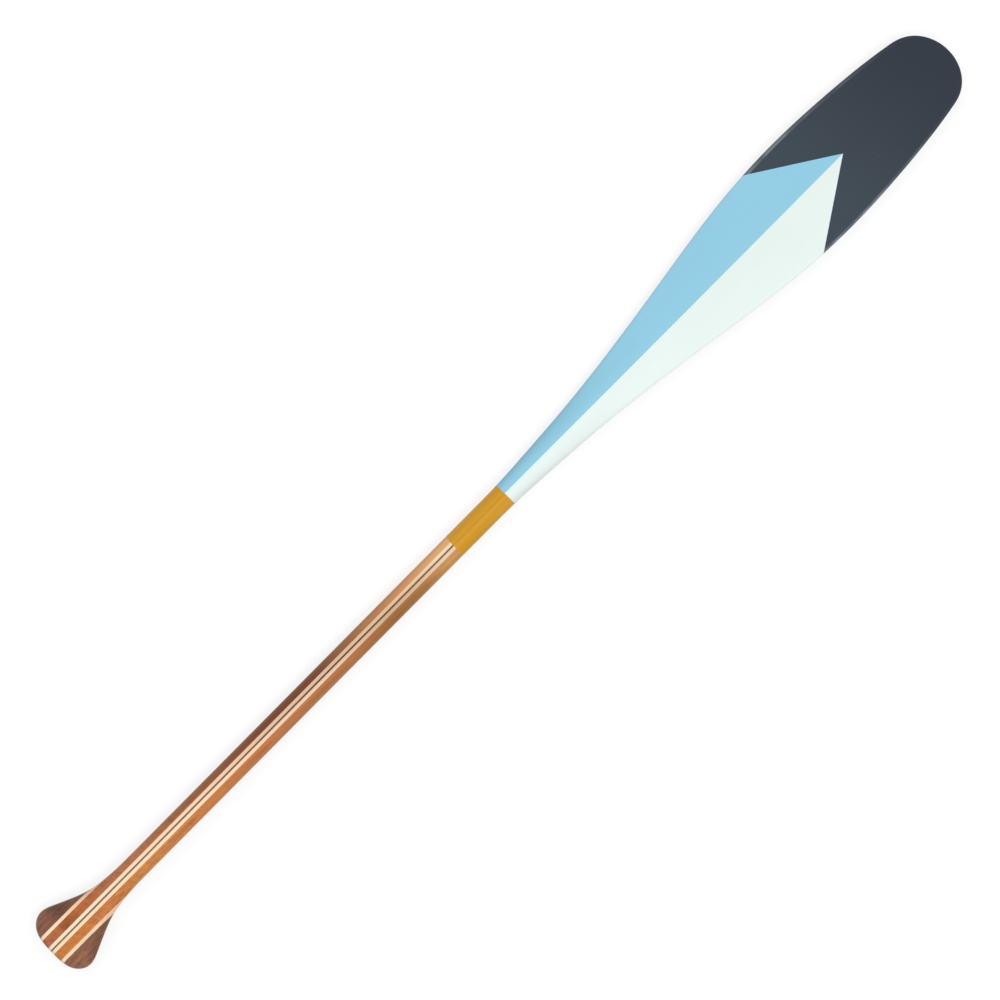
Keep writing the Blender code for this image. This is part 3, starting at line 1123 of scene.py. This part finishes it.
# %% Material builder
GLUE_BROWN = screen_colour(58, 36, 24)
BAND_SHOWS_WOOD = 0.05
VARNISH_ROUGHNESS = 0.44
PAINT_ROUGHNESS = 0.42
RIDGE_HEIGHT = 0.8
BUMP_HEIGHT = 0.00006
VARNISH = 0.25
COAT_ROUGHNESS = 0.34
FILM_IOR = 1.45
FILM_SHINE = 0.22


def glue_lines(place, inner, outer, width=0.16):
    """Dark lines where a strip is glued to its neighbours. The planes come in metres, the width in mm."""
    return use(glue, Place=place, Inner_Plane=1000 * inner, Outer_Plane=1000 * outer, Width=width)["Glue"]


def finish_wood(place, normal, wood, late_wood, dark_lines):
    """Lay the film over a wood: paint where the scheme has it, and varnish where the wood is bare."""
    bare = blend(dark_lines, wood, GLUE_BROWN)
    bare = use(end_grain, Normal=normal, Color=bare)["Color"]
    paint = use(scheme, Place=place)
    # The painted highlight along the blade's rim goes into the paint's colour.
    rim_sheen = use(rim_highlight, Place=place, Normal=normal, Color=paint["Color"])["Color"]
    cover = product(paint["Painted"], maths("SUBTRACT", 1.0, product(paint["Band"], BAND_SHOWS_WOOD)))
    roughness = ramp(paint["Painted"], 0.0, 1.0, VARNISH_ROUGHNESS, PAINT_ROUGHNESS)
    color = blend(cover, bare, rim_sheen)
    coat = use(film, Place=place, Color=color, Grain=late_wood, Roughness=roughness)
    height = maths("MULTIPLY_ADD", paint["Tape Edge"], RIDGE_HEIGHT, coat["Height"])
    bump = add("Bump", {"Strength": 1.0, "Distance": BUMP_HEIGHT, "Height": height}).outputs[0]
    varnished = maths("MULTIPLY_ADD", paint["Painted"], -VARNISH, VARNISH)
    tree = place.id_data
    shader = tree.nodes["Principled BSDF"].inputs
    tree.links.new(coat["Color"], shader["Base Color"])
    tree.links.new(coat["Roughness"], shader["Roughness"])
    tree.links.new(bump, shader["Normal"])
    tree.links.new(varnished, shader["Coat Weight"])
    shader["Coat Roughness"].default_value = COAT_ROUGHNESS
    shader["IOR"].default_value = FILM_IOR
    shader["Specular IOR Level"].default_value = FILM_SHINE


print(f"A tape leaves a ridge of {1e6 * RIDGE_HEIGHT * BUMP_HEIGHT:.0f} thousandths of a millimetre")

# %% [markdown]
# ## Cedar
#
# The two wide strips are red cedar, sawn from different boards: one is orange near the grip and the other
# redder. Both are paler towards the blade, which is partly the boards' own tone and partly a painted sheen
# where the varnish catches the light near the band. The left strip's dark brown in the middle of the shaft
# is partly its own tone and partly painted shade. Cedar has straight, fine rings. A texture from a
# photograph would have one board's marks, so the colour comes from a ramp along the strip instead, and the
# grain and the figure are laid over it.


# %% Cedar
CEDAR_GRAIN = dict(
    Late_Tint=(0.80, 0.70, 0.60, 1),
    Ring_Width=1.15,
    Wander=3.0,
    Streaks=0.50,
    Fibres=0.60,
)


def cedar(name, tones, heart, **patches):
    """Cedar whose tone drifts along the strip, with golden and brown patches near the grip."""
    material, place, normal = start_material(name)
    color = tone_along(place, tones, wobble=16.0)
    wood = use(grain, Place=place, Color=color, Heart=heart, **CEDAR_GRAIN)
    swirls = use(figure, Place=place, Color=wood["Color"], Size=9.0, **patches)
    seam = glue_lines(place, MAPLE_GLUE, CEDAR_GLUE)
    finish_wood(place, normal, swirls["Color"], wood["Late Wood"], seam)
    return material


cedar_left = cedar(
    "red_cedar_left",
    [
        (-762, (184, 107, 66)),
        (-738, (182, 104, 60)),
        (-722, (150, 80, 34)),
        (-712, (174, 97, 44)),
        (-688, (190, 108, 58)),
        (-662, (188, 112, 68)),
        (-622, (192, 119, 76)),
        (-522, (164, 98, 58)),
        # Darker in the middle of the shaft: partly the board's tone, partly painted shade.
        (-402, (130, 68, 22)),
        (-342, (122, 65, 22)),
        (-300, (120, 67, 24)),
        # Paler towards the band: partly the board's tone, partly painted sheen.
        (-188, (198, 137, 82)),
        (-138, (221, 158, 100)),
        (-98, (235, 180, 118)),
    ],
    heart=(0, 120, -60),
    Bright_Tint=(1.16, 1.19, 0.76, 1),
    Dark_Tint=(0.78, 0.70, 0.66, 1),
    Slant=math.radians(62),
)
cedar_right = cedar(
    "red_cedar_right",
    [
        (-762, (204, 126, 64)),
        (-722, (204, 122, 58)),
        (-662, (202, 123, 60)),
        (-600, (214, 138, 72)),
        (-522, (206, 128, 62)),
        (-402, (192, 118, 62)),
        (-282, (181, 113, 62)),
        (-188, (157, 99, 42)),
        # Paler towards the band: partly the board's tone, partly painted sheen.
        (-138, (171, 115, 56)),
        (-98, (205, 149, 83)),
    ],
    heart=(0, -90, 105),
    Bright_Tint=(1.14, 1.25, 0.50, 1),
    Dark_Tint=(0.82, 0.72, 0.70, 1),
    Slant=math.radians(48),
)
print("Cedar:", cedar_left.name, "and", cedar_right.name)

# %% [markdown]
# ## Maple
#
# The pale strips are maple, which is dense and nearly plain. What makes it look like maple is how little
# there is to see: its rings are faint and its fibres fine, so the same grain group works with weak tints.
# One maple could do for all of them, but two strips side by side would then match too well. So there are
# three boards, one on each side of the middle and a third for the outer strips of the grip.


# %% Maple
MAPLE_GRAIN = dict(
    Late_Tint=(0.95, 0.90, 0.84, 1),
    Ring_Width=2.3,
    Wander=3.0,
    Streaks=0.10,
    Fibres=0.10,
)


def maple(name, tones, heart):
    """Maple whose tone drifts along the strip."""
    material, place, normal = start_material(name)
    color = tone_along(place, tones)
    wood = use(grain, Place=place, Color=color, Heart=heart, **MAPLE_GRAIN)
    seam = glue_lines(place, MAPLE_GLUE, CEDAR_GLUE, width=0.1)
    finish_wood(place, normal, wood["Color"], wood["Late Wood"], seam)
    return material


maple_left = maple(
    "pale_maple_left",
    [
        (-762, (255, 234, 206)),
        (-662, (255, 233, 205)),
        (-602, (255, 227, 196)),
        (-522, (253, 223, 191)),
        # Darker towards the middle of the shaft: partly the board's tone, partly painted shade.
        (-402, (236, 203, 174)),
        (-282, (221, 188, 159)),
        (-188, (229, 194, 157)),
        # Paler towards the band: partly the board's tone, partly painted sheen.
        (-138, (238, 205, 169)),
        (-98, (249, 221, 191)),
    ],
    heart=(0, 80, -35),
)
maple_right = maple(
    "pale_maple_right",
    [
        (-762, (255, 230, 196)),
        (-522, (254, 224, 192)),
        (-402, (247, 213, 181)),
        (-282, (234, 199, 168)),
        (-188, (204, 171, 135)),
        # Paler towards the band: partly the board's tone, partly painted sheen.
        (-138, (216, 184, 149)),
        (-98, (234, 206, 180)),
    ],
    heart=(0, -80, -35),
)
maple_grip = maple(
    "pale_maple_grip",
    [
        (-762, (255, 232, 201)),
        (-742, (255, 230, 198)),
        (-717, (252, 218, 183)),
        (-690, (246, 209, 173)),
    ],
    heart=(0, 30, -95),
)
print("Maple:", maple_left.name, maple_right.name, maple_grip.name)

# %% [markdown]
# ## Walnut
#
# Walnut makes the dark line down the middle and the two blocks that widen the grip. It is brown, full of
# pores, and streaked with paler and darker wood. The streaks could be painted by hand, but the figure group
# draws them when it is stretched. The blocks come from two boards, so each has its own heart and its own
# tone. The line has a third, which is paler at the grip and darkest on the shaft.


# %% Walnut
WALNUT_GRAIN = dict(
    Late_Tint=(0.60, 0.52, 0.48, 1),
    Ring_Width=1.9,
    Wander=7.0,
    Fibres=0.58,
)
WALNUT_STREAKS = dict(
    Bright_Tint=(1.32, 1.23, 1.20, 1),
    Dark_Tint=(0.78, 0.73, 0.73, 1),
    Slant=math.radians(-8),
    Size=4.5,
    Stretch=5.0,
)


def walnut(name, tones, heart, streaks, inner_glue):
    """Walnut with rings, long streaks, pores and ray flecks, glued on the side towards the middle."""
    material, place, normal = start_material(name)
    color = tone_along(place, tones, wobble=14.0)
    wood = use(grain, Place=place, Color=color, Heart=heart, Streaks=streaks, **WALNUT_GRAIN)
    streaked = use(figure, Place=place, Color=wood["Color"], **WALNUT_STREAKS)
    flecked = use(rays, Place=place, Color=streaked["Color"])["Color"]
    seam = glue_lines(place, inner_glue, GRIP_WIDTH)
    dark = maths("MAXIMUM", use(pores, Place=place)["Pores"], seam)
    finish_wood(place, normal, flecked, wood["Late Wood"], dark)
    return material


walnut_left = walnut(
    "walnut_ear_left",
    [
        (-762, (142, 94, 70)),
        (-741, (140, 92, 68)),
        (-722, (104, 62, 38)),
        (-700, (120, 80, 52)),
    ],
    heart=(0, 260, -30),
    streaks=0.5,
    inner_glue=GRIP_GLUE,
)
walnut_right = walnut(
    "walnut_ear_right",
    [
        (-762, (148, 98, 74)),
        (-741, (146, 96, 70)),
        (-722, (126, 76, 50)),
        (-700, (122, 80, 54)),
    ],
    heart=(0, -240, 40),
    streaks=0.5,
    inner_glue=GRIP_GLUE,
)
walnut_line = walnut(
    "walnut_line",
    [
        (-762, (146, 118, 84)),
        (-662, (140, 110, 78)),
        (-522, (134, 104, 70)),
        (-402, (108, 82, 50)),
        (-282, (88, 62, 36)),
        (-188, (98, 72, 40)),
        (-98, (120, 98, 70)),
    ],
    heart=(0, 40, 60),
    streaks=0.3,
    inner_glue=CENTRE_GLUE,
)
print("Walnut:", walnut_left.name, walnut_right.name, walnut_line.name)

# %% [markdown]
# ## Basswood under paint
#
# The blade's laths are basswood, which is light, soft and never seen, because paint covers all of it. A
# material with only the paint would look much the same. But the same builder lets the faint rings press
# through the film, and the edges of the paint meet exactly where they cross from one strip to the next.

# %% Painted basswood
BASSWOOD_GRAIN = dict(
    Color=screen_colour(222, 196, 160),
    Late_Tint=(0.85, 0.80, 0.72, 1),
    Heart=(0, 12, -90),
    Ring_Width=3.4,
    Wander=8.0,
    Streaks=0.10,
    Fibres=0.10,
)
basswood, place, normal = start_material("painted_basswood")
wood = use(grain, Place=place, **BASSWOOD_GRAIN)
seam = glue_lines(place, INNER_GLUE, MIDDLE_GLUE)
finish_wood(place, normal, wood["Color"], wood["Late Wood"], seam)
print("Basswood:", basswood.name)

# %% [markdown]
# ## Which strip gets which board
#
# A maker lays the boards out on the bench and decides by eye which goes where. The strips could be given
# their boards by a rule, such as one for each wood, but then both sides of the shaft would match, and on
# the real paddle they don't. So a short table names the board for each strip that shows its wood. Every
# other strip is basswood.

# %% Give each strip its finish
FINISHES = {
    "walnut_centre_strip": walnut_line,
    "maple_strip_left": maple_left,
    "maple_strip_right": maple_right,
    "grip_maple_left": maple_grip,
    "grip_maple_right": maple_grip,
    "cedar_strip_left": cedar_left,
    "cedar_strip_right": cedar_right,
    "grip_walnut_left": walnut_left,
    "grip_walnut_right": walnut_right,
}
for node, piece in strips.items():
    piece.data.materials.append(FINISHES.get(node, basswood))
    print(node, "is finished as", piece.data.materials[0].name)

# %% [markdown]
# ## The floor
#
# The paddle lies on a plain white floor that melts into a white background. A white floor under studio
# light comes out light grey, and more light would bleach the paddle. So the floor glows a little for the
# camera and for reflections only, which lifts it to white and still leaves it the paddle's soft shadow.
# Far out, where less of the lamps' light arrives, it glows a little more. Seen from below the floor is
# clear, so that the underside can be looked at.

# %% Floor
FLOOR_REACH = 8.0
FLOOR_TONE = 0.28
GLOW_NEAR = 0.76
GLOW_FAR = 0.83
GLOW_RISES = (1.0, 3.0)

floor_mesh = bpy.data.meshes.new("floor")
quarters = ((-1, -1), (1, -1), (1, 1), (-1, 1))
corners = [(x * FLOOR_REACH, y * FLOOR_REACH, cad_low.z) for x, y in quarters]
floor_mesh.from_pydata(corners, [], [(0, 1, 2, 3)])
floor = put_in_scene("floor", floor_mesh)


def seen_directly(tree):
    """1 for what the camera, a reflection or glass sees, and 0 for light that bounces about."""
    path = add("LightPath", {}, tree).outputs
    seen = maths("MAXIMUM", path["Is Camera Ray"], path["Is Glossy Ray"])
    return maths("MAXIMUM", seen, path["Is Transmission Ray"])


white_floor = bpy.data.materials.new("white_floor")
white_floor.use_nodes = True
tree = white_floor.node_tree
tree.nodes.clear()
matt = add("BsdfDiffuse", {"Color": (FLOOR_TONE, FLOOR_TONE, FLOOR_TONE, 1)}, tree).outputs[0]
from_middle = vectors("LENGTH", add("TexCoord", {}, tree).outputs["Object"])
glow = ramp(from_middle, *GLOW_RISES, GLOW_NEAR, GLOW_FAR)
glow = product(seen_directly(tree), glow)
lit = add("Emission", {"Color": (1, 1, 1, 1), "Strength": glow}).outputs[0]
both = add("AddShader", {0: matt, 1: lit}).outputs[0]
clear = add("BsdfTransparent", {}, tree).outputs[0]
from_below = add("NewGeometry", {}, tree).outputs["Backfacing"]
surface_shader = add("MixShader", {0: from_below, 1: both, 2: clear}).outputs[0]
add("OutputMaterial", {"Surface": surface_shader})
floor_mesh.materials.append(white_floor)
print(f"A floor of {2 * FLOOR_REACH:.0f} m square")

# %% [markdown]
# ## Light
#
# A picture of a paddle for a shop is lit softly from both sides, so that the colours stay true and only a
# faint shine tells the paint from the varnish. Two long panels of light hang beside the paddle, along its
# length. They stand off to the sides, because a lamp over the flat blade would lay a veil on the dark
# paint. A dim white surround fills the rest.

# %% World and lamps
SURROUND = 0.66

world = bpy.data.worlds.new("studio")
bpy.context.scene.world = world
world.use_nodes = True
tree = world.node_tree
tree.nodes.clear()
level = ramp(seen_directly(tree), 0.0, 1.0, SURROUND, 1.0)
sky = add("Background", {"Color": (1, 1, 1, 1), "Strength": level}).outputs[0]
add("OutputWorld", {"Surface": sky})


def turned(right, up, back):
    """The turn of something whose right side, top and back look these three ways."""
    return Matrix((right, up, back)).transposed().to_4x4()


def panel(name, place, size, watts):
    """A long panel of light that looks at the middle of the paddle."""
    lamp = bpy.data.lights.new(name, "AREA")
    lamp.shape = "RECTANGLE"
    lamp.size, lamp.size_y = size
    lamp.energy = watts
    fixture = put_in_scene(name, lamp)
    back = Vector(place).normalized()
    side = Vector((1, 0, 0))
    side = (side - back * side.dot(back)).normalized()
    fixture.matrix_world = Matrix.Translation(place) @ turned(side, back.cross(side), back)
    print(f"{name}: {size[0]} by {size[1]} m, {watts} W")


panel("key_panel", (0.1, -1.25, 2.1), (2.6, 1.0), 23)
panel("side_panel", (0.1, 1.35, 1.7), (2.4, 0.5), 5)

# %% [markdown]
# ## The camera
#
# The paddle is photographed from straight above, leaning by a few degrees, and turned so that it runs along
# the picture's diagonal with its tip at the upper right. A wide lens would swell whatever is near it, so a
# long one keeps the shape true. The distance follows from the lens, the sensor and how many millimetres one
# of the picture's pixels covers.

# %% Camera
PICTURE_PIXELS = 1000
METRES_PER_PIXEL = 0.0012
LENS = 85.0
SENSOR = 36.0
TILT = math.radians(6)
TURN = math.radians(45.25)

picture_width = PICTURE_PIXELS * METRES_PER_PIXEL
distance = picture_width * LENS / SENSOR
tip_ward = Vector((1, 0, 0))
away = Vector((0, -math.sin(TILT), math.cos(TILT)))
level_up = Vector((0, math.cos(TILT), math.sin(TILT)))
right = math.cos(TURN) * tip_ward - math.sin(TURN) * level_up
up = math.sin(TURN) * tip_ward + math.cos(TURN) * level_up

camera_data = bpy.data.cameras.new("camera")
camera_data.lens = LENS
camera_data.sensor_width = SENSOR
camera = put_in_scene("camera", camera_data)
target = Vector((0, 0, MIDDLE_HEIGHT))
camera.matrix_world = Matrix.Translation(target + distance * away) @ turned(right, up, away)
bpy.context.scene.camera = camera
bpy.context.scene.view_settings.view_transform = "Standard"
print(f"The camera is {distance:.2f} m above the paddle")

# %% [markdown]
# ## The last step
#
# The finished strips have to stay inside the box of the imported model. The last call brings the scene up to
# date.

# %% Finish
bpy.context.view_layer.update()
